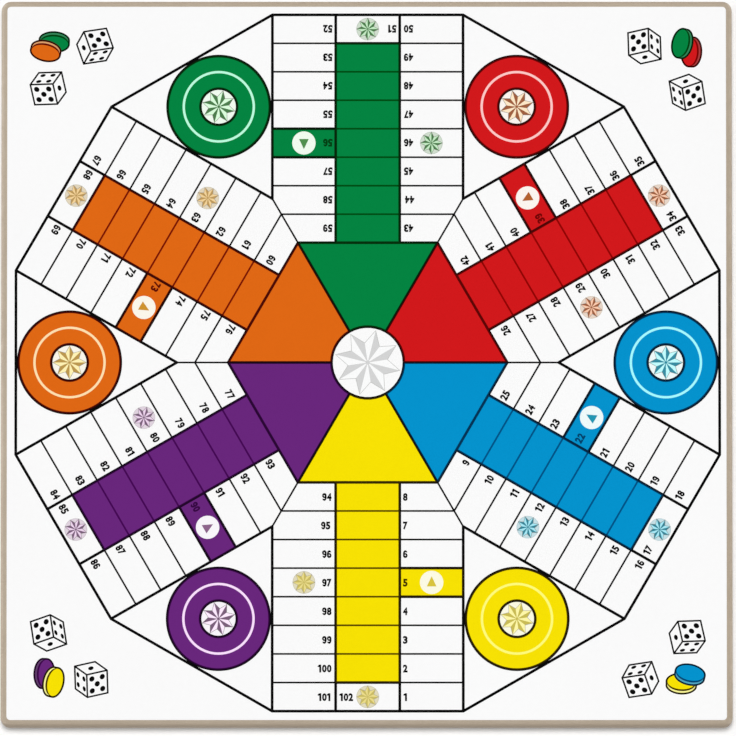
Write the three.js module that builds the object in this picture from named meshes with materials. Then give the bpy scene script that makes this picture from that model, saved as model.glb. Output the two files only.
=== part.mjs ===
// Ludo board for six players: a round-edged fibreboard panel with a sheet glued to each face.
// The upper sheet is printed in thin ink films, the colours first and the black rules over them.
// Millimetres, +Z up. The origin is the middle of the underside, where the board rests.
import * as THREE from "three";

// Panel and sheets
const CORE_THICKNESS = 12;
const EDGE_ROUND = 3.2; // quarter round worked on both edges of the panel
const SHEET_CORNER = 2; // corner radius of the sheets, concentric with the panel's
const FACE_SHEET_THICKNESS = 0.2;
const BACKING_SHEET_THICKNESS = 0.2;
const GLUE_LINE = 0.05;

// Track: six arms of three columns, set round a hexagon
const ROW_COUNT = 8;
const ROW_PITCH = 15.73;
const LANE_WIDTH = 35;
const SIDE_CELL_LENGTH = 34.65;
const HEXAGON_APOTHEM = 66.05;
const START_ROW = 5; // rows are counted from the outer end of an arm
const SAFE_ROW = 5;
const PRINT_MARGIN = 4.3; // bare border between the track and the edge of the sheet
const PRINT_SHIFT = 0.57; // the print sits this far off the panel's middle, towards +X
const PRINT_RISE = 0.2; // and this far towards +Y

// Ink films and rules
const INK_FILM = 0.05;
const INK_GAP = 0.3; // bare strip between two colours, covered by the rule on it
const HEAVY_RULE = 1.5;
const FINE_RULE = 0.95;
const WEDGE_RULE = 1.5; // between the colours of the hexagon

// Home circles, one between each two arms
const HOME_CLEARANCE = 0.3; // bare strip between a circle's outline and the rules round it
const HOME_RING_WIDTH = 1.55; // bare ring halfway across the colour
const BADGE_RADIUS = 10.5;
const BADGE_RULE = 1.3;
const BADGE_STAR_CLEARANCE = 0.5;

// Spots on the track
const START_SPOT_MARGIN = 1.3; // from the start square's long edges to its round bare spot
const SAFE_STAR_MARGIN = 1.75; // from a cell's long edges to the star's tips
const CENTRE_RADIUS = 19.8; // middle line of the ring round the centre
const CENTRE_STAR_CLEARANCE = 0.9;
const CENTRE_STAR_TURN = THREE.MathUtils.degToRad(31);
const STAR_POINTS = 8;
const STAR_NOTCH_SHARE = 0.6; // notch radius over tip radius

// Facets
const LARGE_CIRCLE_STEPS = 18; // half the sides of a full circle
const SMALL_CIRCLE_STEPS = 12;
const WEDGE_ARC_STEPS = 4;
const CORNER_STEPS = 3;
const EDGE_STEPS = 4;
const CENTRE_RING_STEPS = 7; // sides of the centre ring in front of each wedge
const SAME_POINT = 1e-3; // points this close are one crossing

const CORE_COLOUR = 0xbca891;
const FACE_COLOUR = 0xfafafa;
const BACKING_COLOUR = 0xd9d4cb;
const BLACK_COLOUR = 0x0a0a0a;
const CENTRE_STAR_COLOUR = 0xd5d5d5;
const CORE_ROUGHNESS = 0.65;
const FACE_ROUGHNESS = 0.4;
const BACKING_ROUGHNESS = 0.7;
const INK_ROUGHNESS = 0.45;

// Players in clockwise order from the top arm, each with its field colour and its star's tint.
const PLAYERS = [
  { name: "green", colour: 0x038241, tint: 0x7fbf86 },
  { name: "red", colour: 0xcf181c, tint: 0xd98a68 },
  { name: "blue", colour: 0x0592cc, tint: 0x5fb8d8 },
  { name: "yellow", colour: 0xf6e001, tint: 0xe0d270 },
  { name: "purple", colour: 0x68267b, tint: 0xa985b5 },
  { name: "orange", colour: 0xde6714, tint: 0xe2b56a },
];
const FIRST_ARM = Math.PI / 2;
const ARM_TURN = (2 * Math.PI) / PLAYERS.length;
const HALF_TURN = ARM_TURN / 2;

// Sizes that follow from those above
const LANE_HALF = LANE_WIDTH / 2;
const ARM_HALF = LANE_HALF + SIDE_CELL_LENGTH;
const ARM_REACH = HEXAGON_APOTHEM + ROW_COUNT * ROW_PITCH;
const BETWEEN_REACH = ARM_REACH * Math.cos(HALF_TURN) + ARM_HALF * Math.sin(HALF_TURN);
const NOTCH_REACH = ARM_HALF / Math.sin(HALF_TURN);
const PRINT_REACH = Math.max(ARM_REACH, BETWEEN_REACH);
const SHEET_SIDE = 2 * (PRINT_REACH + PRINT_MARGIN);
const HALF_GAP = INK_GAP / 2;
const HALF_HEAVY = HEAVY_RULE / 2;

const CORE_Z = BACKING_SHEET_THICKNESS + GLUE_LINE;
const FACE_Z = CORE_Z + CORE_THICKNESS + GLUE_LINE;
const COLOUR_Z = FACE_Z + FACE_SHEET_THICKNESS;
const BLACK_Z = COLOUR_Z + INK_FILM;

const rowLine = (row) => ARM_REACH - row * ROW_PITCH;
const rowMiddle = (row) => rowLine(row) + ROW_PITCH / 2;

const board = new THREE.Group();

function addPiece(group, name, geometry, colour, roughness) {
  const material = new THREE.MeshStandardMaterial({ color: colour, roughness, metalness: 0 });
  const mesh = new THREE.Mesh(geometry, material);
  mesh.name = name;
  group.add(mesh);
  return mesh;
}

function addInk(group, name, geometry, colour) {
  return addPiece(group, name, geometry, colour, INK_ROUGHNESS);
}

function addGroup(parent, turn, z) {
  const group = new THREE.Group();
  group.rotation.z = turn;
  group.position.z = z;
  parent.add(group);
  return group;
}

// Outlines

function polygon(points) {
  return new THREE.Shape(points.map(([x, y]) => new THREE.Vector2(x, y)));
}

function roundedSquare(side, radius) {
  const straight = side / 2 - radius;
  const shape = new THREE.Shape();
  shape.absarc(straight, straight, radius, 0, Math.PI / 2);
  shape.absarc(-straight, straight, radius, Math.PI / 2, Math.PI);
  shape.absarc(-straight, -straight, radius, Math.PI, 1.5 * Math.PI);
  shape.absarc(straight, -straight, radius, 1.5 * Math.PI, 2 * Math.PI);
  return shape;
}

function circleHole(x, y, radius) {
  return new THREE.Path().absarc(x, y, radius, 0, 2 * Math.PI, true);
}

function washer(outer, inner) {
  const shape = new THREE.Shape().absarc(0, 0, outer, 0, 2 * Math.PI);
  shape.holes.push(circleHole(0, 0, inner));
  return shape;
}

function star(radius) {
  const points = [];
  for (let i = 0; i < 2 * STAR_POINTS; i++) {
    const reach = i % 2 ? radius * STAR_NOTCH_SHARE : radius;
    const angle = (i * Math.PI) / STAR_POINTS;
    points.push([reach * Math.cos(angle), reach * Math.sin(angle)]);
  }
  return polygon(points);
}

function film(shape, steps = SMALL_CIRCLE_STEPS) {
  return new THREE.ExtrudeGeometry(shape, {
    depth: INK_FILM,
    bevelEnabled: false,
    curveSegments: steps,
  });
}

// Panel and sheets

function sheet(thickness) {
  return new THREE.ExtrudeGeometry(roundedSquare(SHEET_SIDE, SHEET_CORNER), {
    depth: thickness,
    bevelEnabled: false,
    curveSegments: CORNER_STEPS,
  });
}

function corePanel() {
  const geometry = new THREE.ExtrudeGeometry(roundedSquare(SHEET_SIDE, SHEET_CORNER), {
    depth: CORE_THICKNESS - 2 * EDGE_ROUND,
    bevelThickness: EDGE_ROUND,
    bevelSize: EDGE_ROUND,
    bevelSegments: EDGE_STEPS,
    curveSegments: CORNER_STEPS,
  });
  return geometry.translate(0, 0, EDGE_ROUND);
}

const faceSheet = sheet(FACE_SHEET_THICKNESS);
const backingSheet = sheet(BACKING_SHEET_THICKNESS);
addPiece(board, "backing_sheet", backingSheet, BACKING_COLOUR, BACKING_ROUGHNESS);
addPiece(board, "core_panel", corePanel(), CORE_COLOUR, CORE_ROUGHNESS).position.z = CORE_Z;
addPiece(board, "face_sheet", faceSheet, FACE_COLOUR, FACE_ROUGHNESS).position.z = FACE_Z;

const print = new THREE.Group();
print.position.set(PRINT_SHIFT, PRINT_RISE, 0);
board.add(print);

// Colour fields of one arm, drawn with the arm running along +X

function homePath() {
  const openAngle = HALF_TURN - Math.asin(HALF_GAP / CENTRE_RADIUS);
  const wedgeHalf = HEXAGON_APOTHEM * Math.tan(HALF_TURN) - HALF_GAP / Math.cos(HALF_TURN);
  const laneHalf = LANE_HALF - HALF_GAP;
  const shape = polygon([
    [HEXAGON_APOTHEM, -wedgeHalf],
    [HEXAGON_APOTHEM, -laneHalf],
    [rowLine(1), -laneHalf],
    [rowLine(1), laneHalf],
    [HEXAGON_APOTHEM, laneHalf],
    [HEXAGON_APOTHEM, wedgeHalf],
  ]);
  shape.absarc(0, 0, CENTRE_RADIUS, openAngle, -openAngle, true);
  return shape;
}

function startSquare() {
  const near = LANE_HALF + HALF_GAP;
  const shape = polygon([
    [rowLine(START_ROW), near],
    [rowLine(START_ROW - 1), near],
    [rowLine(START_ROW - 1), ARM_HALF],
    [rowLine(START_ROW), ARM_HALF],
  ]);
  const spotRadius = ROW_PITCH / 2 - START_SPOT_MARGIN;
  shape.holes.push(circleHole(rowMiddle(START_ROW), LANE_HALF + SIDE_CELL_LENGTH / 2, spotRadius));
  return shape;
}

const safeStar = star(ROW_PITCH / 2 - SAFE_STAR_MARGIN);

PLAYERS.forEach(({ name, colour, tint }, i) => {
  const arm = addGroup(print, FIRST_ARM - i * ARM_TURN, COLOUR_Z);
  addInk(arm, `${name}_home_path`, film(homePath(), WEDGE_ARC_STEPS), colour);
  addInk(arm, `${name}_start_square`, film(startSquare()), colour);
  const laneStar = addInk(arm, `${name}_lane_star`, film(safeStar), tint);
  laneStar.position.x = rowMiddle(1);
  const sideStar = addInk(arm, `${name}_safe_star`, film(safeStar), tint);
  sideStar.position.set(rowMiddle(SAFE_ROW), -LANE_HALF - SIDE_CELL_LENGTH / 2, 0);
});

// Home circles, each in the triangle left between two arms and the outer rule

const TRIANGLE_INRADIUS = (BETWEEN_REACH - NOTCH_REACH) / 3;
const HOME_REACH = BETWEEN_REACH - TRIANGLE_INRADIUS;
const HOME_RADIUS = TRIANGLE_INRADIUS - HALF_HEAVY - HOME_CLEARANCE;
const HOME_RULE_MIDDLE = HOME_RADIUS - HALF_HEAVY;
const BADGE_RULE_MIDDLE = BADGE_RADIUS - BADGE_RULE / 2;
const HOME_RING_MIDDLE = (HOME_RULE_MIDDLE + BADGE_RADIUS) / 2;
const BADGE_STAR_RADIUS = BADGE_RADIUS - BADGE_RULE - BADGE_STAR_CLEARANCE;

const HOME_RULE = washer(HOME_RADIUS, HOME_RADIUS - HEAVY_RULE);
const OUTER_BAND = washer(HOME_RULE_MIDDLE, HOME_RING_MIDDLE + HOME_RING_WIDTH / 2);
const INNER_BAND = washer(HOME_RING_MIDDLE - HOME_RING_WIDTH / 2, BADGE_RULE_MIDDLE);
const BADGE_RING = washer(BADGE_RADIUS, BADGE_RADIUS - BADGE_RULE);

PLAYERS.forEach(({ name, colour, tint }, i) => {
  const between = addGroup(print, FIRST_ARM + HALF_TURN - i * ARM_TURN, COLOUR_Z);
  const home = new THREE.Group();
  home.position.x = HOME_REACH;
  between.add(home);
  addInk(home, `${name}_home_outer_band`, film(OUTER_BAND, LARGE_CIRCLE_STEPS), colour);
  addInk(home, `${name}_home_inner_band`, film(INNER_BAND), colour);
  addInk(home, `${name}_badge_star`, film(star(BADGE_STAR_RADIUS)), tint);
  const black = addGroup(home, 0, INK_FILM);
  addInk(black, `${name}_home_outline`, film(HOME_RULE, LARGE_CIRCLE_STEPS), BLACK_COLOUR);
  addInk(black, `${name}_badge_ring`, film(BADGE_RING), BLACK_COLOUR);
});

const centre = addGroup(print, CENTRE_STAR_TURN, COLOUR_Z);
const CENTRE_STAR_RADIUS = CENTRE_RADIUS - HALF_HEAVY - CENTRE_STAR_CLEARANCE;
addInk(centre, "centre_star", film(star(CENTRE_STAR_RADIUS)), CENTRE_STAR_COLOUR);

// Black rules of the track, all in one film.
// Each rule runs from crossing to crossing, and the rules that meet there share their corners.

const crossings = new Map();

function crossing([x, y]) {
  const key = [x, y].map((value) => Math.round(value / SAME_POINT)).join();
  if (!crossings.has(key)) crossings.set(key, { x, y, ways: [] });
  return crossings.get(key);
}

function addWay(from, to, half) {
  const angle = Math.atan2(to.y - from.y, to.x - from.x);
  from.ways.push({ from, to, half, angle });
}

function addRule(points, width) {
  const stops = points.map(crossing);
  for (let i = 1; i < stops.length; i++) {
    addWay(stops[i - 1], stops[i], width / 2);
    addWay(stops[i], stops[i - 1], width / 2);
  }
}

function addArmRules(turn) {
  const at = (x, y, extra = 0) => {
    const point = new THREE.Vector2(x, y).rotateAround(new THREE.Vector2(), turn + extra);
    return [point.x, point.y];
  };
  const bisector = (x) => at(x, x * Math.tan(HALF_TURN));
  const notchX = NOTCH_REACH * Math.cos(HALF_TURN);
  const rowLines = Array.from({ length: ROW_COUNT + 1 }, (_, row) => rowLine(row));

  for (let row = 1; row < ROW_COUNT; row++) {
    const x = rowLine(row);
    const end = Math.min(ARM_HALF, x * Math.tan(HALF_TURN));
    const bordersStart = row === START_ROW || row === START_ROW - 1;
    addRule([at(x, -end), at(x, -LANE_HALF)], FINE_RULE);
    addRule([at(x, -LANE_HALF), at(x, LANE_HALF)], row === 1 ? HEAVY_RULE : FINE_RULE);
    addRule([at(x, LANE_HALF), at(x, end)], bordersStart ? HEAVY_RULE : FINE_RULE);
  }
  for (const side of [-1, 1]) {
    const flankStops = rowLines.filter((x) => x > notchX).concat(notchX);
    addRule(rowLines.map((x) => at(x, side * LANE_HALF)), HEAVY_RULE);
    addRule(flankStops.map((x) => at(x, side * ARM_HALF)), HEAVY_RULE);
  }
  const columns = [-LANE_HALF, LANE_HALF];
  const outerEnd = [-ARM_HALF, ...columns, ARM_HALF].map((y) => at(ARM_REACH, y));
  addRule([...outerEnd, at(ARM_REACH, -ARM_HALF, ARM_TURN)], HEAVY_RULE);

  const hexagonHalf = HEXAGON_APOTHEM * Math.tan(HALF_TURN);
  const hexagonStops = [-hexagonHalf, ...columns, hexagonHalf];
  addRule(hexagonStops.map((y) => at(HEXAGON_APOTHEM, y)), HEAVY_RULE);
  addRule([CENTRE_RADIUS * Math.cos(HALF_TURN), HEXAGON_APOTHEM].map(bisector), WEDGE_RULE);
  addRule([notchX, ...rowLines.filter((x) => x < notchX)].map(bisector), FINE_RULE);

  const ringStops = Array.from({ length: CENTRE_RING_STEPS + 1 }, (_, step) =>
    at(CENTRE_RADIUS, 0, (step / CENTRE_RING_STEPS) * ARM_TURN - HALF_TURN),
  );
  addRule(ringStops, HEAVY_RULE);
}

// The corner between a way and the next one round the same crossing.
function cornerBetween(way, next) {
  const along = new THREE.Vector2(Math.cos(way.angle), Math.sin(way.angle));
  const nextAlong = new THREE.Vector2(Math.cos(next.angle), Math.sin(next.angle));
  const sine = along.cross(nextAlong);
  const straightOn = Math.abs(sine) < SAME_POINT;
  const offset = straightOn
    ? new THREE.Vector2(-along.y, along.x).multiplyScalar(way.half)
    : along.multiplyScalar(next.half).addScaledVector(nextAlong, way.half).divideScalar(sine);
  return [way.from.x + offset.x, way.from.y + offset.y];
}

function linePrint() {
  const positions = [];
  const triangles = [];

  // A corner's vertices: the even one lies on the sheet, the odd one on top of the ink.
  const addCorner = ([x, y]) => {
    positions.push(x, y, 0, x, y, INK_FILM);
    return positions.length / 3 - 2;
  };
  const addCap = (corners) => {
    for (let i = 2; i < corners.length; i++) {
      const [a, b, c] = [corners[0], corners[i - 1], corners[i]];
      triangles.push(a + 1, b + 1, c + 1, a, c, b);
    }
  };
  const addWall = (a, b) => triangles.push(a, b, b + 1, a, b + 1, a + 1);

  for (const { ways } of crossings.values()) {
    ways.sort((a, b) => a.angle - b.angle);
    ways.forEach((way, i) => {
      const next = ways[(i + 1) % ways.length];
      way.left = addCorner(cornerBetween(way, next));
      next.right = way.left;
    });
    addCap(ways.map((way) => way.left));
  }
  for (const { ways } of crossings.values()) {
    for (const way of ways) {
      const back = way.to.ways.find((other) => other.to === way.from);
      addWall(way.right, back.left);
      if (way.right < back.right) addCap([way.right, back.left, back.right, way.left]);
    }
  }
  const geometry = new THREE.BufferGeometry();
  geometry.setAttribute("position", new THREE.Float32BufferAttribute(positions, 3));
  geometry.setIndex(triangles);
  geometry.computeVertexNormals();
  return geometry;
}

PLAYERS.forEach((player, i) => addArmRules(FIRST_ARM - i * ARM_TURN));
addInk(print, "line_print", linePrint(), BLACK_COLOUR).position.z = BLACK_Z;

export default board;
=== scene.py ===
import math

import bmesh
import bpy
from mathutils import Matrix, Vector


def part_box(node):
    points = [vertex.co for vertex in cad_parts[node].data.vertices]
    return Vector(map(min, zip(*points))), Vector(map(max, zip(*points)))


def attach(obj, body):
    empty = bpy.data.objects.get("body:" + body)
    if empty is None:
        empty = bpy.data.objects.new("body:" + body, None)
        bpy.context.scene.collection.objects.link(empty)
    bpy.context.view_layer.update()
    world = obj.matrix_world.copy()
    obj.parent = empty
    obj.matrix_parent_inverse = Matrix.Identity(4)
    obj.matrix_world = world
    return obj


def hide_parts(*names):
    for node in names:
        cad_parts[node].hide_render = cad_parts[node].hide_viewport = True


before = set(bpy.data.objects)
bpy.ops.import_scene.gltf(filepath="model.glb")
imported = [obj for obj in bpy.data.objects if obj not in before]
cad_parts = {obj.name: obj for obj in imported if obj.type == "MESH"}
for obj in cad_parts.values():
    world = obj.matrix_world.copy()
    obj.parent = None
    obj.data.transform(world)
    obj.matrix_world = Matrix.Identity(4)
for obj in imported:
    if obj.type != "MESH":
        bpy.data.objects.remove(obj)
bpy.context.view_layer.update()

# Where the board is seen: flat on a white table, from almost straight above. The camera stands far off
# with a long lens, so the rules stay parallel, and it leans a little towards the near edge.
MM = 0.001
PICTURE_WIDTH = 402.15 * MM  # what the picture spans at the printed face
PICTURE_MIDDLE = Vector((0.73, -2.85, 12.6)) * MM
CAMERA_LEAN = math.radians(7.53)
LENS = 1500
SENSOR = 36
camera_distance = PICTURE_WIDTH * LENS / SENSOR
towards_camera = Vector((0, -math.sin(CAMERA_LEAN), math.cos(CAMERA_LEAN)))

bpy.ops.object.camera_add(
    location=PICTURE_MIDDLE + camera_distance * towards_camera,
    rotation=(CAMERA_LEAN, 0, 0),
)
camera = bpy.context.object
camera.data.lens = LENS
camera.data.sensor_width = SENSOR
bpy.context.scene.camera = camera
bpy.context.scene.view_settings.view_transform = "Standard"

# The table and its light: a wide white sheet under the board, one soft lamp high over the far edge,
# whose shadow shows as a thin line along the near edge, a weak lamp at either side, and pale walls.
TABLE_SIZE = 60
TABLE_DROP = 0.02 * MM
TABLE_WHITE = (0.985, 0.985, 0.985, 1)
TABLE_GLOW = 0.15  # how much of the table's look is its own plain white
WALL_STRENGTH = 0.2
KEY_LAMP = {"share": 0.652, "elevation": 81, "heading": 180, "softness": 20, "tint": (1, 1, 1)}
LEFT_LAMP = {"share": 0.115, "elevation": 45, "heading": -90, "softness": 50, "tint": (0.94, 0.98, 1)}
RIGHT_LAMP = {"share": 0.045, "elevation": 45, "heading": 90, "softness": 50, "tint": (1, 0.98, 0.94)}


class Shade:
    """An output of a material's nodes, on which sums add Math nodes to the same material."""

    def __init__(self, socket):
        self.socket = socket

    def node(self, kind, settings, inputs, output=0):
        """Adds a node of a kind, sets it up, joins or fills its sockets and gives one of its outputs."""
        tree = self.socket.id_data
        made = tree.nodes.new(kind)
        for name, value in settings.items():
            if name == "stops":
                set_stops(made.color_ramp, value)
            else:
                setattr(made, name, value)
        for name, value in inputs.items():
            if isinstance(value, Shade):
                tree.links.new(value.socket, made.inputs[name])
            else:
                made.inputs[name].default_value = value
        return Shade(made.outputs[output])

    def feed(self, shader, name):
        self.socket.id_data.links.new(self.socket, shader.inputs[name])

    def sum(self, operation, first, second):
        return self.node("ShaderNodeMath", {"operation": operation}, {0: first, 1: second})

    def __add__(self, other):
        return self.sum("ADD", self, other)

    def __sub__(self, other):
        return self.sum("SUBTRACT", self, other)

    def __rsub__(self, other):
        return self.sum("SUBTRACT", other, self)

    def __mul__(self, other):
        return self.sum("MULTIPLY", self, other)

    __radd__ = __add__
    __rmul__ = __mul__


def set_stops(ramp, stops):
    """Gives a colour ramp its stops, each a place from 0 to 1 and a colour."""
    while len(ramp.elements) < len(stops):
        ramp.elements.new(1)
    for element, (place, colour) in zip(ramp.elements, stops):
        element.position = place
        element.color = colour


def add_lamp(name, share, elevation, heading, softness, tint):
    """A far lamp that gives a level white surface this share of its full brightness."""
    lean = math.radians(90 - elevation)
    bpy.ops.object.light_add(type="SUN", rotation=(lean, 0, math.radians(heading)))
    lamp = bpy.context.object
    lamp.name = name
    lamp.visible_glossy = False  # no glare, as through crossed polarisers
    lamp.data.energy = math.pi * share / math.cos(lean)
    lamp.data.angle = math.radians(softness)
    lamp.data.color = tint


def seen_directly(tree):
    """1 where the camera sees a surface straight or in a mirror or glass, else 0."""
    path = tree.nodes.new("ShaderNodeLightPath")
    straight, mirrored, through = (
        Shade(path.outputs[ray]) for ray in ("Is Camera Ray", "Is Glossy Ray", "Is Transmission Ray")
    )
    return straight.sum("MAXIMUM", straight.sum("MAXIMUM", straight, mirrored), through)


add_lamp("key_lamp", **KEY_LAMP)
add_lamp("left_lamp", **LEFT_LAMP)
add_lamp("right_lamp", **RIGHT_LAMP)

pale_walls = bpy.data.worlds.new("pale_walls")
bpy.context.scene.world = pale_walls
pale_walls.use_nodes = True
walls = pale_walls.node_tree.nodes["Background"]
walls.inputs["Color"].default_value = (1, 1, 1, 1)
wall_light = seen_directly(pale_walls.node_tree) * (1 - WALL_STRENGTH) + WALL_STRENGTH
wall_light.feed(walls, "Strength")

bpy.ops.mesh.primitive_plane_add(size=TABLE_SIZE, location=(0, 0, -TABLE_DROP))
table = bpy.context.object
table.name = "table"
table_white = bpy.data.materials.new("table_white")
table_white.use_nodes = True
table_nodes = table_white.node_tree.nodes
table_nodes.remove(table_nodes["Principled BSDF"])
table_seen = seen_directly(table_white.node_tree)
sheet = table_seen.node("ShaderNodeBsdfDiffuse", {}, {"Color": TABLE_WHITE})
glow = table_seen.node("ShaderNodeEmission", {}, {"Color": (1, 1, 1, 1), "Strength": 1})
look = table_seen.node("ShaderNodeMixShader", {}, {0: table_seen * TABLE_GLOW, 1: sheet, 2: glow})
look.feed(table_nodes["Material Output"], "Surface")
table.data.materials.append(table_white)

# The core is a square panel of fibreboard. Its corners are rounded and a quarter-round cutter has run
# along both edges, so the bare brown fibre shows all round, darker where the pressed skin is cut.
# Painted shade darkens the edges of the near and far sides, where the light falls off them.
PANEL_CORNER = 5.2 * MM
PANEL_EDGE_ROUND = 3.2 * MM
CORNER_SEGMENTS = 12
EDGE_SEGMENTS = 8
SMOOTH_BELOW = math.radians(30)
FIBRE_DARK = (180, 164, 144)
FIBRE_MIDDLE = (202, 186, 166)
FIBRE_PALE = (216, 202, 184)
STRANDS = {"scale": 1100, "detail": 5, "roughness": 0.7}
CLUMPS = {"scale": 160, "detail": 3}
FIBRE_CLOUDS = {"scale": 22}
STRAND_FLATNESS = 2.5  # how many times longer a strand is along the board than upwards
SKIN_DARK = (172, 158, 140)
SKIN_DEPTH = 1.4 * MM
SKIN_STRENGTH = 0.75
# Painted shade, darkening the edges of the near and far sides, where the light falls off them.
PAINTED_SIDE_SHADE = (177, 161, 142)
SIDE_SHADE_DEPTH = 2 * MM  # how far in from the near and far sides the painted shade reaches
SIDE_SHADE_FULL = 0.8 * MM
SIDE_SHADE_STRENGTH = 0.9


def paint(colour, lightness=1):
    """A screen colour, three numbers up to 255, as the light that a surface of it sends back."""
    linear = [((c / 255 + 0.055) / 1.055) ** 2.4 if c > 10 else c / 255 / 12.92 for c in colour]
    return (*[min(1, c * lightness) for c in linear], 1)


def new_material(name, gloss):
    """A material, its surface shader, and the place on the board that its patterns read."""
    material = bpy.data.materials.new(name)
    material.use_nodes = True
    nodes = material.node_tree.nodes
    shader = nodes["Principled BSDF"]
    shader.inputs["Specular IOR Level"].default_value = gloss
    return material, shader, Shade(nodes.new("ShaderNodeTexCoord").outputs["Object"])


def noise(place, scale, detail=2, roughness=0.5):
    inputs = {"Vector": place, "Scale": scale, "Detail": detail, "Roughness": roughness}
    return place.node("ShaderNodeTexNoise", {}, inputs)


def mix(factor, first, second):
    """One colour passing into another as the factor goes from 0 to 1."""
    return factor.node("ShaderNodeMix", {"data_type": "RGBA"}, {0: factor, 6: first, 7: second}, 2)


def bump(height, strength, distance):
    inputs = {"Strength": strength, "Distance": distance, "Height": height}
    return height.node("ShaderNodeBump", {}, inputs)


def fibreboard(low, high, side):
    """Pressed wood fibre: short pale and dark strands lying flat, with denser, darker faces."""
    material, shader, place = new_material("fibreboard", gloss=0.25)
    lying = place.node("ShaderNodeMapping", {}, {"Vector": place, "Scale": (1, 1, STRAND_FLATNESS)})
    strands = noise(lying, **STRANDS)
    clumps = noise(lying, **CLUMPS)
    clouds = noise(place, **FIBRE_CLOUDS)
    tone = strands * 0.5 + clumps * 0.25 + clouds * 0.25
    ramp = [(0.36, paint(FIBRE_DARK)), (0.5, paint(FIBRE_MIDDLE)), (0.64, paint(FIBRE_PALE))]
    fibre = place.node("ShaderNodeValToRGB", {"stops": ramp}, {"Fac": tone})
    height = place.node("ShaderNodeSeparateXYZ", {}, {"Vector": place}, 2)
    depth = height.sum("ABSOLUTE", height - (low + high) / 2, 0)
    half = (high - low) / 2
    skin_inputs = {"Value": depth, "From Min": half - SKIN_DEPTH, "From Max": half}
    skin = depth.node("ShaderNodeMapRange", {"interpolation_type": "SMOOTHSTEP"}, skin_inputs)
    skinned = mix(skin * SKIN_STRENGTH, fibre, paint(SKIN_DARK))
    # Painted shade towards the near and far sides of the panel.
    away = place.node("ShaderNodeSeparateXYZ", {}, {"Vector": place}, 1)
    reached = {"From Min": side - SIDE_SHADE_DEPTH, "From Max": side - SIDE_SHADE_FULL}
    reached["Value"] = away.sum("ABSOLUTE", away, 0)
    side_shade = away.node("ShaderNodeMapRange", {"interpolation_type": "SMOOTHSTEP"}, reached)
    mix(side_shade * SIDE_SHADE_STRENGTH, skinned, paint(PAINTED_SIDE_SHADE)).feed(shader, "Base Color")
    (0.62 + strands * 0.25).feed(shader, "Roughness")
    bump(strands, strength=0.35, distance=0.1 * MM).feed(shader, "Normal")
    return material


def choose(piece, part, test):
    """In edit mode, selects those vertices, edges or faces of a piece that pass a test."""
    kinds = {"verts": "VERT", "edges": "EDGE", "faces": "FACE"}
    bpy.ops.mesh.select_mode(type=kinds[part])
    bpy.ops.mesh.select_all(action="DESELECT")
    mesh = bmesh.from_edit_mesh(piece.data)
    for item in getattr(mesh, part):
        if test(item):
            item.select_set(True)
    mesh.select_flush_mode()
    bmesh.update_edit_mesh(piece.data)


def is_upright(edge):
    return abs(edge.verts[0].co.z - edge.verts[1].co.z) > edge.calc_length() / 2


def is_face_rim(edge):
    levels = sorted(abs(face.normal.z) for face in edge.link_faces)
    return levels[0] < 0.1 and levels[1] > 0.9


core_low, core_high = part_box("core_panel")
bpy.ops.object.select_all(action="DESELECT")
bpy.ops.mesh.primitive_cube_add(
    size=1, location=(core_low + core_high) / 2, scale=core_high - core_low
)
panel = bpy.context.object
panel.name = "fibreboard_panel"
bpy.ops.object.transform_apply(location=True, rotation=True, scale=True)
bpy.ops.object.mode_set(mode="EDIT")
choose(panel, "edges", is_upright)
bpy.ops.mesh.bevel(offset=PANEL_CORNER, segments=CORNER_SEGMENTS, affect="EDGES")
choose(panel, "edges", is_face_rim)
bpy.ops.mesh.bevel(offset=PANEL_EDGE_ROUND, segments=EDGE_SEGMENTS, affect="EDGES")
bpy.ops.object.mode_set(mode="OBJECT")
bpy.ops.object.shade_smooth_by_angle(angle=SMOOTH_BELOW)
panel.data.materials.append(fibreboard(core_low.z, core_high.z, core_high.y))
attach(panel, "root")
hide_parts("core_panel")

# The two sheets are paper glued to the flats of the panel. The one below is plain greyish board paper
# that keeps the panel from warping, and the one above is smooth white paper that takes the print.
FACE_WHITE = (251, 251, 251)
FACE_SHADE = (247, 246, 246)
FACE_FELT = {"scale": 420, "detail": 4, "roughness": 0.6}
FACE_CLOUDS = {"scale": 14}
BACKING_PALE = (222, 217, 208)
BACKING_SHADE = (206, 200, 189)
BACKING_FELT = {"scale": 260, "detail": 5, "roughness": 0.65}
BACKING_FLECK = (158, 146, 128)
FLECKS = {"scale": 900}
FLECK_FROM = 0.66  # the level of the noise at which flecks start
FLECK_FULL = 0.74


def face_paper():
    material, shader, place = new_material("face_paper", gloss=0.15)
    felt = noise(place, **FACE_FELT)
    clouds = noise(place, **FACE_CLOUDS)
    mix(felt * 0.6 + clouds * 0.4, paint(FACE_SHADE), paint(FACE_WHITE, 1.01)).feed(shader, "Base Color")
    (0.42 + felt * 0.16).feed(shader, "Roughness")
    bump(felt, strength=0.06, distance=0.05 * MM).feed(shader, "Normal")
    return material


def backing_paper():
    material, shader, place = new_material("backing_paper", gloss=0.2)
    felt = noise(place, **BACKING_FELT)
    flecks = noise(place, **FLECKS)
    fleck_inputs = {"Value": flecks, "From Min": FLECK_FROM, "From Max": FLECK_FULL}
    fleck = flecks.node("ShaderNodeMapRange", {}, fleck_inputs)
    sheet = mix(felt, paint(BACKING_SHADE), paint(BACKING_PALE))
    mix(fleck * 0.7, sheet, paint(BACKING_FLECK)).feed(shader, "Base Color")
    (0.7 + felt * 0.2).feed(shader, "Roughness")
    bump(felt, strength=0.2, distance=0.05 * MM).feed(shader, "Normal")
    return material


def dress(node, material):
    """Gives a solid of the frame its finish."""
    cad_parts[node].material_slots[0].material = material


dress("backing_sheet", backing_paper())
dress("face_sheet", face_paper())

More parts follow.
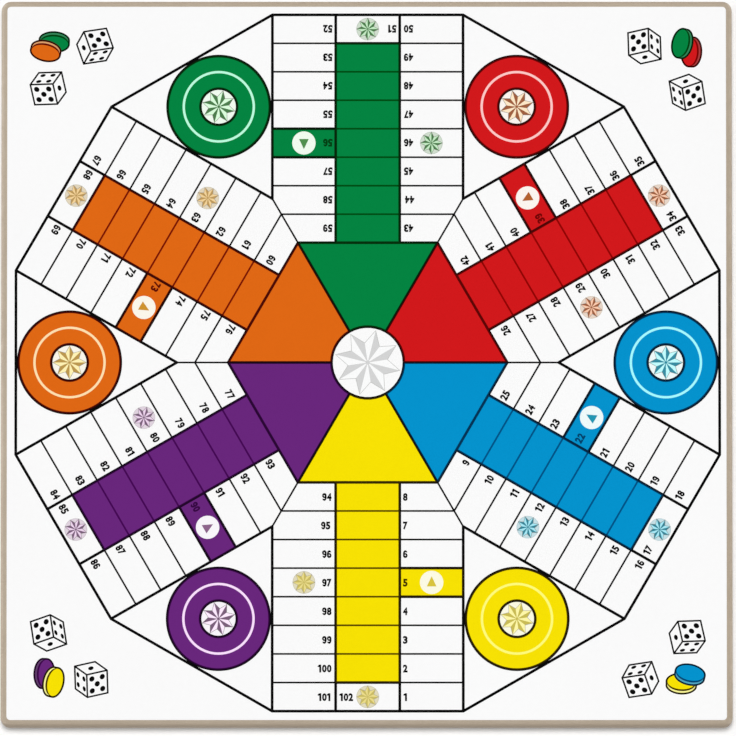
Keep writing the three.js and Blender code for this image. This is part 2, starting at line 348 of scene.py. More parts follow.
# The colour fields are flat ink: six home lanes, each running on into its wedge of the hexagon. The ink
# lies thin on the paper, so its depth of colour wanders a little and the felt of the sheet shows through.
PLAYERS = ["green", "red", "blue", "yellow", "purple", "orange"]  # clockwise from the far arm
FIELD_COLOURS = {
    "green": (3, 130, 64),
    "red": (208, 24, 27),
    "blue": (4, 145, 203),
    "yellow": (246, 224, 3),
    "purple": (104, 38, 123),
    "orange": (222, 103, 20),
}
INK_LAY = {"scale": 70, "detail": 3}
INK_CLOUDS = {"scale": 9, "detail": 1}


def ink(name, colour, wander=0.05):
    """Printed ink: a colour that thins and thickens a little, over the felt of the paper."""
    material, shader, place = new_material(name, gloss=0.02)
    felt = noise(place, **FACE_FELT)
    lay = noise(place, **INK_LAY)
    clouds = noise(place, **INK_CLOUDS)
    depth = felt * 0.4 + lay * 0.3 + clouds * 0.3
    mix(depth, paint(colour, 1 - wander), paint(colour, 1 + wander)).feed(shader, "Base Color")
    (0.4 + felt * 0.2).feed(shader, "Roughness")
    bump(felt, strength=0.05, distance=0.05 * MM).feed(shader, "Normal")
    return material


field_inks = {player: ink(f"{player}_ink", FIELD_COLOURS[player]) for player in PLAYERS}
for player in PLAYERS:
    dress(f"{player}_home_path", field_inks[player])

# Start squares: a colour field with a round pale spot left in it, where an arrow head in a quieter
# shade of the colour points to the middle of the board. Square, spot and arrow are three thin films.
SPOT_SIDES = 64
SPOT_RADIUS = 6.4 * MM
SQUARE_LENGTH = 34.5 * MM
SQUARE_WIDTH = 15.73 * MM
ARROW_BASE = 5.3 * MM
ARROW_LENGTH = 5.6 * MM
ARROW_SHIFT = 2.19 * MM  # from the middle of the spot out to the base
ARROW_FILM = 0.03 * MM
SPOT_TINTS = {
    "green": (240, 250, 238),
    "red": (251, 244, 238),
    "blue": (238, 249, 249),
    "yellow": (251, 249, 226),
    "purple": (248, 244, 249),
    "orange": (250, 245, 233),
}
ARROW_TINTS = {
    "green": (80, 143, 78),
    "red": (178, 96, 44),
    "blue": (32, 150, 178),
    "yellow": (216, 194, 60),
    "purple": (140, 98, 138),
    "orange": (205, 145, 45),
}
print_low, print_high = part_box("line_print")
print_middle = (print_low + print_high) / 2
ink_low, ink_high = (corner.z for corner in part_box("green_start_square"))
ink_film = ink_high - ink_low


def middle(node):
    """The middle of a printed solid, at the level of the bare sheet."""
    low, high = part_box(node)
    return Vector(((low.x + high.x) / 2, (low.y + high.y) / 2, ink_low))


def arm_turn(player):
    """How far an arm is turned from the far one, which runs along +Y."""
    return -PLAYERS.index(player) * 2 * math.pi / len(PLAYERS)


def thicken(piece, film):
    """In edit mode, makes a closed film of a flat shape."""
    bpy.ops.mesh.select_all(action="SELECT")
    bpy.ops.mesh.extrude_region_move(TRANSFORM_OT_translate={"value": (0, 0, film)})
    bpy.ops.mesh.select_all(action="SELECT")
    bpy.ops.mesh.normals_make_consistent(inside=False)
    bpy.ops.object.mode_set(mode="OBJECT")
    return piece


def twin(pattern, place, turn=0):
    """A copy of a pattern with its own mesh, put at a place."""
    bpy.ops.object.select_all(action="DESELECT")
    pattern.select_set(True)
    bpy.context.view_layer.objects.active = pattern
    bpy.ops.object.duplicate(linked=False)
    piece = bpy.context.object
    piece.location = place
    piece.rotation_euler.z = turn
    bpy.ops.object.transform_apply(location=True, rotation=True, scale=True)
    return piece


def copy_to(pattern, name, place, turn, materials):
    """A copy of a pattern with its own inks, printed at a place on the board."""
    piece = twin(pattern, place, turn)
    piece.name = name
    for slot, material in enumerate(materials):
        if slot < len(piece.data.materials):
            piece.data.materials[slot] = material
        else:
            piece.data.materials.append(material)
    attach(piece, "root")
    return piece


def start_square():
    bpy.ops.object.select_all(action="DESELECT")
    bpy.ops.mesh.primitive_cylinder_add(vertices=SPOT_SIDES, radius=SPOT_RADIUS, depth=1)
    cutter = bpy.context.object
    bpy.ops.object.select_all(action="DESELECT")
    bpy.ops.mesh.primitive_cube_add(size=1, location=(0, 0, ink_film / 2))
    square = bpy.context.object
    square.scale = (SQUARE_LENGTH, SQUARE_WIDTH, ink_film)
    bpy.ops.object.transform_apply(location=True, rotation=True, scale=True)
    spot = square.modifiers.new("spot", "BOOLEAN")
    spot.object = cutter
    bpy.ops.object.modifier_apply(modifier="spot")
    bpy.data.objects.remove(cutter)
    return square


def flat_disc(radius, film):
    bpy.ops.object.select_all(action="DESELECT")
    bpy.ops.mesh.primitive_circle_add(vertices=SPOT_SIDES, radius=radius, fill_type="NGON")
    bpy.ops.object.mode_set(mode="EDIT")
    return thicken(bpy.context.object, film)


def arrow_head():
    bpy.ops.object.select_all(action="DESELECT")
    bpy.ops.mesh.primitive_circle_add(vertices=3, radius=1, fill_type="NGON")
    arrow = bpy.context.object
    tip = max(vertex.co.y for vertex in arrow.data.vertices)
    base = min(vertex.co.y for vertex in arrow.data.vertices)
    width = 2 * max(vertex.co.x for vertex in arrow.data.vertices)
    bpy.ops.object.mode_set(mode="EDIT")
    bpy.ops.transform.translate(value=(0, -base, 0))
    bpy.ops.transform.resize(
        value=(ARROW_BASE / width, -ARROW_LENGTH / (tip - base), 1), center_override=(0, 0, 0)
    )
    bpy.ops.transform.translate(value=(0, ARROW_SHIFT, ink_film / 2))
    return thicken(arrow, ARROW_FILM)


square_pattern = start_square()
spot_pattern = flat_disc(SPOT_RADIUS, ink_film / 2)
arrow_pattern = arrow_head()
spot_inks = {player: ink(f"{player}_spot_ink", SPOT_TINTS[player], wander=0.01) for player in PLAYERS}
for player in PLAYERS:
    place = middle(f"{player}_start_square")
    turn = arm_turn(player)
    square = copy_to(square_pattern, f"{player}_square", place, turn, [field_inks[player]])
    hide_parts(f"{player}_start_square")
    spot = copy_to(spot_pattern, f"{player}_spot", place, turn, [spot_inks[player]])
    arrow_ink = ink(f"{player}_arrow_ink", ARROW_TINTS[player])
    arrow = copy_to(arrow_pattern, f"{player}_arrow", place, turn, [arrow_ink])
for pattern in (square_pattern, spot_pattern, arrow_pattern):
    bpy.data.objects.remove(pattern)

# Home circles, where the counters wait: two bands of colour with a pale ring between them, a heavy black
# rule round the outside and a black ring round the badge in the middle, which has the faint tint of the
# start squares' spots. All are flat rings and discs of ink.
CIRCLE_SIDES = 128
HOME_RULE = 1.52 * MM
HOME_SPREAD = 0.46 * MM  # the wet rule spreads until it meets the rules of the track
HOME_RING = 1.3 * MM
HOME_RING_RADIUS = 19.15 * MM
BADGE_RULE = 1.43 * MM
BADGE_SPREAD = 0.24 * MM
RING_FILM = 0.9  # of the thickness of the track's rules
RULE_COLOUR = (6, 6, 6)
LANE_HALF = 17.5 * MM
LANE_FOOT = 66.05 * MM  # from the middle of the board to where a lane leaves its wedge
CENTRE_RADIUS = 19.8 * MM
SPOKE_MARGIN = 0.4 * MM
SHOW_FROM = -0.35 * MM  # how deep in a field its colour starts to show in black ink
SHOW_FULL = 1.5 * MM
SQUARE_SHOW = 0.6  # how strongly a start square shows in its number
OVERPRINTS = {  # what black ink becomes on each colour field
    "green": (0, 74, 16),
    "red": (142, 3, 2),
    "blue": (2, 80, 130),
    "yellow": (83, 64, 1),
    "purple": (66, 6, 81),
    "orange": (117, 12, 3),
}
RING_TINTS = {
    "green": (188, 252, 222),
    "red": (255, 200, 198),
    "blue": (166, 250, 255),
    "yellow": (255, 251, 124),
    "purple": (252, 223, 254),
    "orange": (255, 224, 174),
}


def half_width(node):
    low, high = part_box(node)
    return (high.x - low.x) / 2


def flat_ring(outer, inner, base, film):
    """A ring of ink: a disc whose middle is inset and taken out."""
    bpy.ops.object.select_all(action="DESELECT")
    bpy.ops.mesh.primitive_circle_add(
        vertices=CIRCLE_SIDES, radius=outer, fill_type="NGON", location=(0, 0, base)
    )
    ring = bpy.context.object
    bpy.ops.object.transform_apply(location=True, rotation=True, scale=True)
    bpy.ops.object.mode_set(mode="EDIT")
    bpy.ops.mesh.select_all(action="SELECT")
    bpy.ops.mesh.inset(thickness=outer - inner)
    bpy.ops.mesh.delete(type="FACE")
    return thicken(ring, film)


def show_colours(material):
    """Lets the colour fields show in a black ink where it lies over them."""
    nodes = material.node_tree.nodes
    shader = nodes["Principled BSDF"]
    colour = Shade(shader.inputs["Base Color"].links[0].from_socket)
    place = Shade(nodes["Texture Coordinate"].outputs["Object"])

    def measure(operation, other):
        settings = {"operation": operation}
        return place.node("ShaderNodeVectorMath", settings, {0: place, 1: other}, "Value")

    def off(direction, start):
        away = measure("DOT_PRODUCT", direction) - direction.dot(start)
        return away.sum("ABSOLUTE", away, 0)

    def least(first, *others):
        for other in others:
            first = first.sum("MINIMUM", first, other)
        return first

    half_wedge = math.pi / len(PLAYERS)
    for player in PLAYERS:
        turn = Matrix.Rotation(arm_turn(player), 3, "Z")
        out, side = turn @ Vector((0, 1, 0)), turn @ Vector((1, 0, 0))
        along = measure("DOT_PRODUCT", out) - out.dot(print_middle)
        across = off(side, print_middle)
        square = middle(f"{player}_start_square")
        from_home = measure("DISTANCE", middle(f"{player}_home_outline"))
        from_middle = measure("DISTANCE", print_middle)
        spoke = along * math.sin(half_wedge) - across * math.cos(half_wedge)
        in_length = SQUARE_LENGTH / 2 - off(side, square)
        in_width = SQUARE_WIDTH / 2 - off(out, square)
        fields = [  # how deep a place lies in each field, and how strongly the field shows
            (least(LANE_HALF - across, along - LANE_FOOT, lane_end - along), 1),
            (least(LANE_FOOT - along, spoke - SPOKE_MARGIN, from_middle - CENTRE_RADIUS), 1),
            (least(in_length, in_width), SQUARE_SHOW),
            (least(rule_middle - from_home, from_home - badge_rule_middle), 1),
        ]
        for depth, strength in fields:
            inputs = {"Value": depth, "From Min": SHOW_FROM, "From Max": SHOW_FULL, "To Max": strength}
            shown = depth.node("ShaderNodeMapRange", {}, inputs)
            colour = mix(shown, colour, paint(OVERPRINTS[player]))
    colour.feed(shader, "Base Color")


lane_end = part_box("green_home_path")[1].y - print_middle.y
home_radius = half_width("green_home_outline") + HOME_SPREAD
badge_radius = half_width("green_badge_ring") + BADGE_SPREAD
rule_middle = home_radius - HOME_RULE / 2
badge_rule_middle = badge_radius - BADGE_RULE / 2
ring_outer = HOME_RING_RADIUS + HOME_RING / 2
ring_inner = HOME_RING_RADIUS - HOME_RING / 2
rule_film = RING_FILM * ink_film
home_patterns = {
    "home_outer_band": flat_ring(rule_middle, ring_outer, 0, ink_film),
    "home_inner_band": flat_ring(ring_inner, badge_rule_middle, 0, ink_film),
    "home_outline": flat_ring(home_radius, home_radius - HOME_RULE, ink_film, rule_film),
    "badge_ring": flat_ring(badge_radius, badge_radius - BADGE_RULE, ink_film, rule_film),
}
pale_ring_pattern = flat_ring(ring_outer, ring_inner, 0, ink_film / 2)
badge_film = ink_film / 4
badge_pattern = flat_disc(badge_rule_middle, badge_film)
black_ink = ink("black_ink", RULE_COLOUR, wander=0.3)
show_colours(black_ink)
for player in PLAYERS:
    place = middle(f"{player}_home_outline")
    for part, pattern in home_patterns.items():
        is_band = part.endswith("band")
        material = field_inks[player] if is_band else black_ink
        ring = copy_to(pattern, f"{player}_smooth_{part}", place, 0, [material])
        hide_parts(f"{player}_{part}")
    ring_ink = ink(f"{player}_ring_ink", RING_TINTS[player], wander=0.015)
    ring = copy_to(pale_ring_pattern, f"{player}_pale_ring", place, 0, [ring_ink])
    badge = copy_to(badge_pattern, f"{player}_badge_field", place, 0, [spot_inks[player]])
for pattern in (*home_patterns.values(), pale_ring_pattern, badge_pattern):
    bpy.data.objects.remove(pattern)

# Stars in the badges, on the safe cells and in the middle of the board: eight blades, each folded along
# its length like a paper star, with the clockwise half in shade, a hair line round the whole and a shaded
# eye where the folds meet. They are printed flat.
BLADES = 8
BADGE_STAR = {"tips": 1.08, "notches": 0.665, "eye": 0.72 * MM, "line": 0.24 * MM}
SAFE_STAR = {"tips": 1.04, "notches": 0.615, "eye": 0.48 * MM, "line": 0.22 * MM}
CENTRE_STAR = {"tips": 1.015, "notches": 0.61, "eye": 1.2 * MM, "line": 0.28 * MM}
SAFE_RING_WIDTH = 0.35 * MM
SAFE_DISC_MARGIN = 0.1 * MM
CENTRE_TURN = math.radians(31)
CENTRE_GREY = (186, 186, 184)
CENTRE_SHADE = (211, 211, 211)
CENTRE_LIGHT = (250, 250, 250)
STAR_LINES = {
    "green": (122, 121, 115),
    "red": (122, 120, 116),
    "blue": (122, 121, 115),
    "yellow": (165, 160, 148),
    "purple": (122, 121, 118),
    "orange": (150, 147, 140),
}
STAR_SHADES = {
    "green": (76, 124, 76),
    "red": (158, 94, 62),
    "blue": (54, 139, 160),
    "yellow": (200, 186, 84),
    "purple": (122, 94, 122),
    "orange": (187, 150, 78),
}
STAR_LIGHTS = {
    "green": (220, 253, 220),
    "red": (255, 232, 199),
    "blue": (193, 252, 255),
    "yellow": (255, 247, 168),
    "purple": (254, 234, 254),
    "orange": (255, 241, 179),
}
SAFE_SHADES = {
    "green": (76, 124, 76),
    "red": (158, 94, 62),
    "blue": (54, 131, 149),
    "yellow": (201, 185, 98),
    "purple": (122, 94, 122),
    "orange": (188, 151, 90),
}
SAFE_LIGHTS = {
    "green": (197, 234, 196),
    "red": (252, 203, 173),
    "blue": (168, 233, 246),
    "yellow": (234, 219, 138),
    "purple": (237, 211, 236),
    "orange": (242, 210, 153),
}
SAFE_DISCS = {
    "green": (208, 221, 205),
    "red": (232, 213, 198),
    "blue": (196, 222, 228),
    "yellow": (225, 218, 186),
    "purple": (224, 210, 222),
    "orange": (226, 213, 187),
}
SAFE_RINGS = {
    "green": (192, 203, 190),
    "red": (214, 199, 183),
    "blue": (188, 206, 211),
    "yellow": (204, 199, 177),
    "purple": (206, 198, 204),
    "orange": (208, 200, 180),
}


def reach(node):
    """How far a star's tips lie from its middle."""
    heart = middle(node).xy
    return max((vertex.co.xy - heart).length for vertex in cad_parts[node].data.vertices)


def folded_star(node, tips, notches, eye, line, base=0):
    """A flat star in three inks, for its hair line, its lit halves and its shaded halves.

    Its tips and notches lie at these shares of the reach of the solid.
    """
    step = math.pi / BLADES
    radius = reach(node)
    bpy.ops.object.select_all(action="DESELECT")
    bpy.ops.mesh.primitive_circle_add(
        vertices=2 * BLADES, radius=radius, fill_type="TRIFAN", location=(0, 0, base)
    )
    star = bpy.context.object
    bpy.ops.object.transform_apply(location=True, rotation=True, scale=True)
    bpy.ops.object.mode_set(mode="EDIT")

    def on_rim(vertex, odd):
        order = round(math.atan2(vertex.co.y, vertex.co.x) / step)
        return vertex.co.xy.length > radius / 2 and order % 2 == odd

    for odd, share in enumerate((tips, notches)):
        choose(star, "verts", lambda vertex: on_rim(vertex, odd))
        bpy.ops.transform.resize(value=(share, share, 1), center_override=(0, 0, base))
    choose(star, "verts", lambda vertex: vertex.co.xy.length < radius / 2)
    bpy.ops.mesh.bevel(offset=eye, affect="VERTICES")
    bpy.ops.mesh.select_mode(type="FACE")
    bpy.ops.mesh.select_all(action="SELECT")
    bpy.ops.mesh.inset(thickness=line)
    for which in range(3):
        star.data.materials.append(None)
    mesh = bmesh.from_edit_mesh(star.data)
    for face in mesh.faces:
        if face.select:
            heart = face.calc_center_median()
            past_tip = math.atan2(heart.y, heart.x) % (2 * step)
            is_eye = heart.xy.length < eye / 2
            face.material_index = 2 if is_eye or past_tip > step else 1
    bmesh.update_edit_mesh(star.data)
    return thicken(star, ink_film / 2)


def safe_disc(radius):
    """The pale round field behind a safe cell's star, with a darker rim."""
    bpy.ops.object.select_all(action="DESELECT")
    bpy.ops.mesh.primitive_circle_add(vertices=SPOT_SIDES, radius=radius, fill_type="NGON")
    disc = bpy.context.object
    bpy.ops.object.mode_set(mode="EDIT")
    bpy.ops.mesh.select_mode(type="FACE")
    bpy.ops.mesh.select_all(action="SELECT")
    bpy.ops.mesh.inset(thickness=SAFE_RING_WIDTH)
    for which in range(2):
        disc.data.materials.append(None)
    mesh = bmesh.from_edit_mesh(disc.data)
    for face in mesh.faces:
        face.material_index = 1 if face.select else 0
    bmesh.update_edit_mesh(disc.data)
    return thicken(disc, badge_film)


badge_star_pattern = folded_star("green_badge_star", **BADGE_STAR, base=badge_film)
safe_star_pattern = folded_star("green_safe_star", **SAFE_STAR, base=badge_film)
safe_disc_pattern = safe_disc(reach("green_safe_star") + SAFE_DISC_MARGIN)
centre_star = folded_star("centre_star", **CENTRE_STAR)

centre_inks = [
    ink("centre_line_ink", CENTRE_GREY),
    ink("centre_light_ink", CENTRE_LIGHT, wander=0.01),
    ink("grey_ink", CENTRE_SHADE, wander=0.02),
]
star = copy_to(centre_star, "folded_centre_star", middle("centre_star"), CENTRE_TURN, centre_inks)
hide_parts("centre_star")
for player in PLAYERS:
    line_ink = ink(f"{player}_line_ink", STAR_LINES[player])
    badge_inks = [
        line_ink,
        ink(f"{player}_star_light", STAR_LIGHTS[player], wander=0.02),
        ink(f"{player}_star_shade", STAR_SHADES[player]),
    ]
    star_inks = [
        line_ink,
        ink(f"{player}_safe_light", SAFE_LIGHTS[player], wander=0.02),
        ink(f"{player}_safe_shade", SAFE_SHADES[player]),
    ]
    disc_inks = [
        ink(f"{player}_disc_rim", SAFE_RINGS[player]),
        ink(f"{player}_disc", SAFE_DISCS[player], wander=0.02),
    ]
    along_arm = arm_turn(player) + math.pi / 2
    along_gap = along_arm + math.pi / len(PLAYERS)
    node = f"{player}_badge_star"
    name = f"{player}_folded_badge_star"
    star = copy_to(badge_star_pattern, name, middle(node), along_gap, badge_inks)
    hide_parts(node)
    for cell in ("lane", "safe"):
        node = f"{player}_{cell}_star"
        name = f"{player}_folded_{cell}_star"
        star = copy_to(safe_star_pattern, name, middle(node), along_arm, star_inks)
        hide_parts(node)
        disc = copy_to(safe_disc_pattern, f"{player}_{cell}_disc", middle(node), 0, disc_inks)
for pattern in (badge_star_pattern, safe_star_pattern, safe_disc_pattern, centre_star):
    bpy.data.objects.remove(pattern)

# The black rules of the track are one film, laid over the colours so that it covers where they meet.
# It is the frame's own solid, in the same black ink as the rings.
dress("line_print", black_ink)

# Cell numbers, in heavy narrow figures, read from outside the board: they run round the track arm by
# arm, down one side column, across the lane's end cell and up the other. Each arm's numbers are one
# film of black ink, set from ten figures.
CELLS_PER_ARM = 17
ROWS = 8
SAFE_ROW = 5  # counted from the outer edge, as all rows are
FIRST_ARM = "blue"
FIGURE_HEIGHT = 4.3 * MM
FIGURE_WIDTH = 2.5 * MM
FIGURE_PITCH = 2.65 * MM
ONE_PITCH = 2.3 * MM
ONE_MARGIN = 0.3 * MM  # left bare beside a one where a number starts or ends with it
FIGURE_WEIGHT = 0.05  # how far a figure's outline is let out, of the type size
FIGURE_FILM = 0.08 * MM
FIGURE_DROP = 0.17 * MM  # how far a number stands below the middle of its row
STEM_WIDTH = 1.05 * MM
STEM_SHIFT = 0.25 * MM
FLAG_ROOT = 1.35 * MM  # how far down the stem of a one its flag starts
FLAG_REACH = 0.95 * MM
FLAG_DROP = 0.3 * MM
FLAG_TAPER = 0.3
BOWL_HEIGHT = 2.75 * MM
ARM_END = 0.95 * MM  # how far above the middle of a six its upper arm ends
BOWL_JOIN = -0.9 * MM
BOWL_FILM = 0.9  # of the figure's own film
LEFT_GAP = 2.2 * MM  # from the lane's rule to the left column's numbers
RIGHT_GAP = 1.68 * MM
END_GAP = 1.7 * MM
STRAY_ROW = 7
STRAY_GAP = LEFT_GAP + 0.6 * MM  # the left column's number in this row stands further out than the rest
lane_star = middle("yellow_lane_star") - print_middle
safe_star = middle("yellow_safe_star") - print_middle
row_pitch = (safe_star.y - lane_star.y) / (SAFE_ROW - 1)


def add_flag(one):
    """In edit mode, draws the flag of a one out of the top of its stem."""
    root = FIGURE_HEIGHT / 2 - FLAG_ROOT
    bpy.ops.mesh.select_all(action="SELECT")
    bpy.ops.mesh.bisect(plane_co=(0, root, 0), plane_no=(0, 1, 0))
    choose(one, "faces", lambda face: face.normal.x < -0.9 and face.calc_center_median().y > root)
    bpy.ops.mesh.extrude_region_move(TRANSFORM_OT_translate={"value": (-FLAG_REACH, -FLAG_DROP, 0)})
    end = FIGURE_HEIGHT / 2 - FLAG_ROOT / 2 - FLAG_DROP
    bpy.ops.transform.resize(value=(1, FLAG_TAPER, 1), center_override=(0, end, 0))


def heavy_type(body, width, height):
    """In edit mode, a figure or letter let out until it is heavy and fitted to a width and height."""
    bpy.ops.object.select_all(action="DESELECT")
    bpy.ops.object.text_add()
    piece = bpy.context.object
    piece.data.body = body
    piece.data.size = FIGURE_HEIGHT
    piece.data.offset = FIGURE_WEIGHT * FIGURE_HEIGHT
    piece.data.resolution_u = 3
    piece.data.extrude = FIGURE_FILM / 2
    bpy.ops.object.convert(target="MESH")
    across = [vertex.co.x for vertex in piece.data.vertices]
    along = [vertex.co.y for vertex in piece.data.vertices]
    stretch = (width / (max(across) - min(across)), height / (max(along) - min(along)), 1)
    shift = (-(max(across) + min(across)) / 2, -(max(along) + min(along)) / 2, 0)
    bpy.ops.object.mode_set(mode="EDIT")
    bpy.ops.mesh.select_all(action="SELECT")
    bpy.ops.mesh.remove_doubles(threshold=0.001 * MM)
    bpy.ops.transform.translate(value=shift)
    bpy.ops.transform.resize(value=stretch, center_override=(0, 0, 0))
    return piece


def round_six():
    """A six: a nought cut open on its right under the shoulder, with a round bowl at its foot."""
    six = heavy_type("0", FIGURE_WIDTH, FIGURE_HEIGHT)
    for height in (BOWL_JOIN, ARM_END):
        bpy.ops.mesh.select_all(action="SELECT")
        bpy.ops.mesh.bisect(plane_co=(0, height, 0), plane_no=(0, 1, 0))

    def is_open(face):
        heart = face.calc_center_median()
        return heart.x > 0 and BOWL_JOIN < heart.y < ARM_END

    choose(six, "faces", is_open)
    bpy.ops.mesh.delete(type="FACE")
    bpy.ops.mesh.select_all(action="SELECT")
    bpy.ops.mesh.fill_holes(sides=0)
    bpy.ops.mesh.normals_make_consistent(inside=False)
    bpy.ops.object.mode_set(mode="OBJECT")
    heavy_type("o", FIGURE_WIDTH, BOWL_HEIGHT)
    bpy.ops.transform.resize(value=(1, 1, BOWL_FILM), center_override=(0, 0, 0))
    bpy.ops.transform.translate(value=(0, (BOWL_HEIGHT - FIGURE_HEIGHT) / 2, 0))
    bpy.ops.object.mode_set(mode="OBJECT")
    six.select_set(True)
    bpy.context.view_layer.objects.active = six
    bpy.ops.object.join()
    return six


def figure_pattern(figure):
    """A figure from 0 to 9. A nine is a six turned half round."""
    if figure in (6, 9):
        piece = round_six()
        piece.rotation_euler.z = 0 if figure == 6 else math.pi
        bpy.ops.object.transform_apply(location=True, rotation=True, scale=True)
        return piece
    piece = heavy_type(str(figure), STEM_WIDTH if figure == 1 else FIGURE_WIDTH, FIGURE_HEIGHT)
    if figure == 1:
        bpy.ops.transform.translate(value=(STEM_SHIFT, 0, 0))
        add_flag(piece)
    bpy.ops.object.mode_set(mode="OBJECT")
    return piece


def set_number(number, x, row, from_left):
    """The figures of one number of the near arm, with their feet towards the outer edge."""
    body = [int(figure) for figure in str(number)]
    pitches = [ONE_PITCH if figure == 1 else FIGURE_PITCH for figure in body]
    margin = ONE_MARGIN if body[0 if from_left else -1] == 1 else 0
    start = x + margin if from_left else x - sum(pitches) - margin
    y = lane_star.y + (row - 1) * row_pitch - FIGURE_DROP
    return [
        twin(figure_patterns[figure], (start + sum(pitches[:order]) + pitches[order] / 2, y, 0))
        for order, figure in enumerate(body)
    ]


figure_patterns = [figure_pattern(figure) for figure in range(10)]
for player in PLAYERS:
    arms_on = (PLAYERS.index(FIRST_ARM) - PLAYERS.index(player)) % len(PLAYERS)
    end_number = (arms_on + 1) * CELLS_PER_ARM
    cell_count = CELLS_PER_ARM * len(PLAYERS)
    figures = set_number(end_number, END_GAP - LANE_HALF, 1, True)
    for row in range(1, ROWS + 1):
        gap = STRAY_GAP if row == STRAY_ROW else LEFT_GAP
        figures += set_number(end_number - row, -LANE_HALF - gap, row, False)
        figures += set_number((end_number + row - 1) % cell_count + 1, LANE_HALF + RIGHT_GAP, row, True)
    bpy.ops.object.select_all(action="DESELECT")
    for figure in figures:
        figure.select_set(True)
    bpy.context.view_layer.objects.active = figures[0]
    bpy.ops.object.join()
    numbers = bpy.context.object
    numbers.name = f"{player}_arm_numbers"
    numbers.location = Vector((print_middle.x, print_middle.y, ink_low + FIGURE_FILM / 2))
    numbers.rotation_euler.z = arm_turn(player) + math.pi
    bpy.ops.object.transform_apply(location=True, rotation=True, scale=True)
    numbers.data.materials.clear()
    numbers.data.materials.append(black_ink)
    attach(numbers, "root")
for pattern in figure_patterns:
    bpy.data.objects.remove(pattern)

# Each corner has two dice drawn in thin black line. A die is drawn from a real one: a block is turned
# and tipped until three faces show and pressed flat, and its pips are ovals laid where they fall in that
# picture: five on the upper face, four and one on the others. One drawing prints all eight.
DIE_SIDES = (12.5 * MM, 13.4 * MM, 14.3 * MM)
DIE_SPIN = math.radians(-47.2)
DIE_TIP = math.radians(34.3)
UPPER_PIP = {"halves": (1.58 * MM, 1.32 * MM), "turn": 0}
FOUR_PIP = {"halves": (1.5 * MM, 0.76 * MM), "turn": math.radians(51)}
SINGLE_PIP = {"halves": (1.52 * MM, 1.02 * MM), "turn": math.radians(141)}
UPPER_SPREAD = (0.51, 0.53)  # where a face's outer pips lie, as shares of its half sides
FOUR_SPREAD = (0.44, 0.5)
PIP_SIDES = 20
DRAWN_LINE = 0.9 * MM
DICE_PLACES = [((-149.2, 174.5), 151.2), ((-174.8, 151.15), -35.5)]  # millimetres and degrees
CORNERS = 4
CORNER_SHIFTS = [(0, 0.1), (0.3, -0.15), (-0.4, 0), (0.3, 0.3)]  # millimetres out of register


def line_drawing(piece, width):
    """Keeps only the edges of a flat shape, as lines of ink."""
    lines = piece.modifiers.new("lines", "WIREFRAME")
    lines.thickness = width
    lines.use_boundary = True
    lines.use_even_offset = True
    bpy.ops.object.modifier_apply(modifier="lines")
    bpy.ops.object.mode_set(mode="EDIT")
    bpy.ops.mesh.select_all(action="SELECT")
    bpy.ops.transform.resize(value=(1, 1, ink_film / width), center_override=(0, 0, 0))
    bpy.ops.transform.translate(value=(0, 0, ink_film / 2))
    bpy.ops.object.mode_set(mode="OBJECT")


def die_outline():
    """A block turned on its foot and tipped towards the reader, pressed flat and kept as lines."""
    bpy.ops.object.select_all(action="DESELECT")
    bpy.ops.mesh.primitive_cube_add(size=1)
    die = bpy.context.object
    die.scale = DIE_SIDES
    bpy.ops.object.transform_apply(location=True, rotation=True, scale=True)
    die.rotation_euler.z = DIE_SPIN
    bpy.ops.object.transform_apply(location=True, rotation=True, scale=True)
    die.rotation_euler.x = DIE_TIP
    bpy.ops.object.transform_apply(location=True, rotation=True, scale=True)
    bpy.ops.object.mode_set(mode="EDIT")
    choose(die, "faces", lambda face: face.normal.z < 0)
    bpy.ops.mesh.delete(type="FACE")
    bpy.ops.mesh.select_all(action="SELECT")
    bpy.ops.transform.resize(value=(1, 1, 0), center_override=(0, 0, 0))
    bpy.ops.object.mode_set(mode="OBJECT")
    line_drawing(die, DRAWN_LINE)
    return die


def oval_pip(along, across, up, halves, turn):
    """A pip at a place on the die's faces, given in shares of its half sides."""
    bpy.ops.object.select_all(action="DESELECT")
    bpy.ops.mesh.primitive_circle_add(vertices=PIP_SIDES, radius=1, fill_type="NGON")
    pip = bpy.context.object
    on_die = Vector([share * side / 2 for share, side in zip((along, across, up), DIE_SIDES)])
    seen = Matrix.Rotation(DIE_TIP, 3, "X") @ Matrix.Rotation(DIE_SPIN, 3, "Z") @ on_die
    pip.location = (seen.x, seen.y, 0)
    pip.rotation_euler.z = turn
    pip.scale = (*halves, 1)
    bpy.ops.object.transform_apply(location=True, rotation=True, scale=True)
    bpy.ops.object.mode_set(mode="EDIT")
    return thicken(pip, ink_film)


def corner_place(spot, turn, corner):
    """Where a drawing of the first corner lies in another, and how it is turned there."""
    round_board = -corner * 2 * math.pi / CORNERS
    place = Matrix.Rotation(round_board, 3, "Z") @ Vector((*spot, 0)) * MM
    place += Vector((*CORNER_SHIFTS[corner], 0)) * MM
    place += Vector((print_middle.x, print_middle.y, ink_low))
    return place, math.radians(turn) + round_board


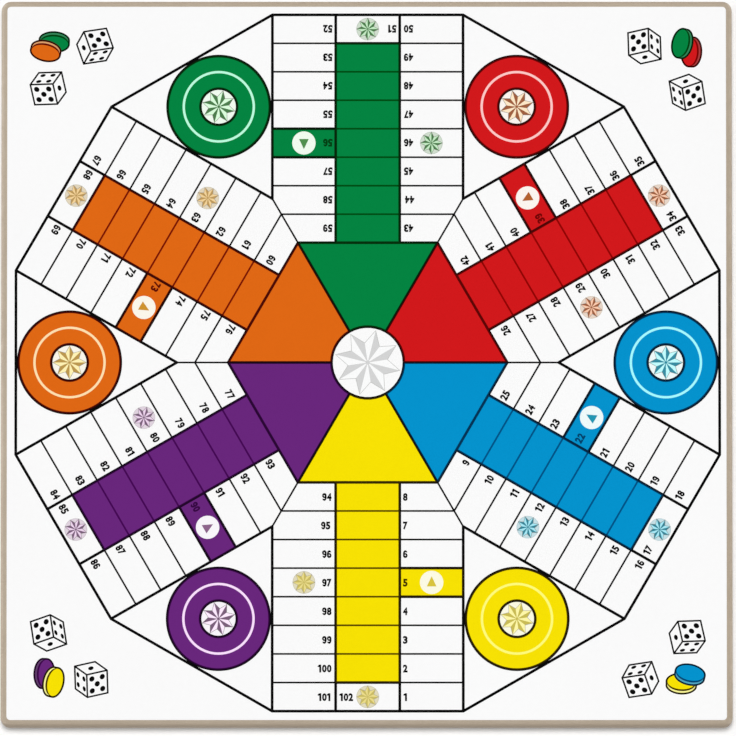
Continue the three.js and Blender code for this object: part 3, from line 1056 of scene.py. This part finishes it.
die_pattern = die_outline()
die_drawing = [die_pattern, oval_pip(0, 0, 1, **UPPER_PIP), oval_pip(0, 1, 0, **SINGLE_PIP)]
for this_way in (-1, 1):
    for that_way in (-1, 1):
        upper = (UPPER_SPREAD[0] * this_way, UPPER_SPREAD[1] * that_way, 1)
        four = (-1, FOUR_SPREAD[0] * this_way, FOUR_SPREAD[1] * that_way)
        die_drawing += [oval_pip(*upper, **UPPER_PIP), oval_pip(*four, **FOUR_PIP)]
bpy.ops.object.select_all(action="DESELECT")
for part in die_drawing:
    part.select_set(True)
bpy.context.view_layer.objects.active = die_pattern
bpy.ops.object.join()
for corner in range(CORNERS):
    for which, (spot, turn) in enumerate(DICE_PLACES):
        name = f"corner_{corner + 1}_die_{which + 1}"
        die = copy_to(die_pattern, name, *corner_place(spot, turn, corner), [black_ink])
bpy.data.objects.remove(die_pattern)

# Beside the dice lie two drawn counters, one half over the other. Each is a round counter seen tipped
# back, so that its rim shows behind its face: the face in the player's ink, the rim in a paler mix. Four
# films lie one on another: a dark ground, the rim, the line between rim and face, and the face.
COUNTER_WIDTH = 16.3 * MM
COUNTER_HEIGHT = 9.1 * MM
COUNTER_RIM = 1.92 * MM
COUNTER_SIDES = 48
COUNTER_LINE = 1.02 * MM
INNER_LINE_SHADE = 0.85  # of the colour that black takes on over a colour field
OUTLINE_SHADE = 0.4
COUNTER_FILM = 0.9  # of the step from one film to the next
COUNTER_PLACES = [((-171.6, 175.8), -3), ((-176.4, 170.9), -13)]  # the one behind, then the one in front
COUNTER_PAIRS = [("green", "orange"), ("red", "green"), ("yellow", "blue"), ("purple", "yellow")]
RIM_TINTS = {
    "green": (52, 134, 88),
    "red": (170, 62, 62),
    "blue": (80, 165, 195),
    "yellow": (254, 247, 150),
    "purple": (98, 62, 108),
    "orange": (222, 158, 106),
}


def counter_drawing():
    """A tipped counter in four inks: its face, rim, outline and the line in front of its rim."""
    films = [(1, COUNTER_RIM, 2), (-1, COUNTER_RIM, 1), (-1, COUNTER_LINE, 3), (-1, 0, 0)]
    step = ink_film / len(films)
    bpy.ops.object.select_all(action="DESELECT")
    for level, (let_out, rim, slot) in enumerate(films):
        height = level * step
        bpy.ops.mesh.primitive_circle_add(
            vertices=COUNTER_SIDES, radius=1, fill_type="NGON", location=(0, 0, height)
        )
        if level == 0:
            counter = bpy.context.object
            bpy.ops.object.mode_set(mode="EDIT")
        growth = let_out * COUNTER_LINE
        size = ((COUNTER_WIDTH + growth) / 2, (COUNTER_HEIGHT + growth) / 2, 1)
        bpy.ops.transform.resize(value=size, center_override=(0, 0, height))
        choose(counter, "verts", lambda vertex: abs(vertex.co.z - height) < step / 2 and vertex.co.y > 0)
        bpy.ops.transform.translate(value=(0, rim, 0))
    for film in films:
        counter.data.materials.append(None)
    mesh = bmesh.from_edit_mesh(counter.data)
    for face in mesh.faces:
        face.material_index = films[round(face.calc_center_median().z / step)][2]
    bmesh.update_edit_mesh(counter.data)
    bpy.ops.mesh.select_mode(type="FACE")
    return thicken(counter, COUNTER_FILM * step)


counter_pattern = counter_drawing()
counter_inks = {}
for player in PLAYERS:
    outline = [OUTLINE_SHADE * level for level in OVERPRINTS[player]]
    inner_line = [INNER_LINE_SHADE * level for level in OVERPRINTS[player]]
    counter_inks[player] = [
        field_inks[player],
        ink(f"{player}_rim_ink", RIM_TINTS[player]),
        ink(f"{player}_outline", outline),
        ink(f"{player}_inner_line", inner_line),
    ]
for corner, pair in enumerate(COUNTER_PAIRS):
    for which, player in enumerate(pair):
        name = f"corner_{corner + 1}_{player}_counter"
        place, turn = corner_place(*COUNTER_PLACES[which], corner)
        place.z += which * ink_film
        counter = copy_to(counter_pattern, name, place, turn, counter_inks[player])
bpy.data.objects.remove(counter_pattern)
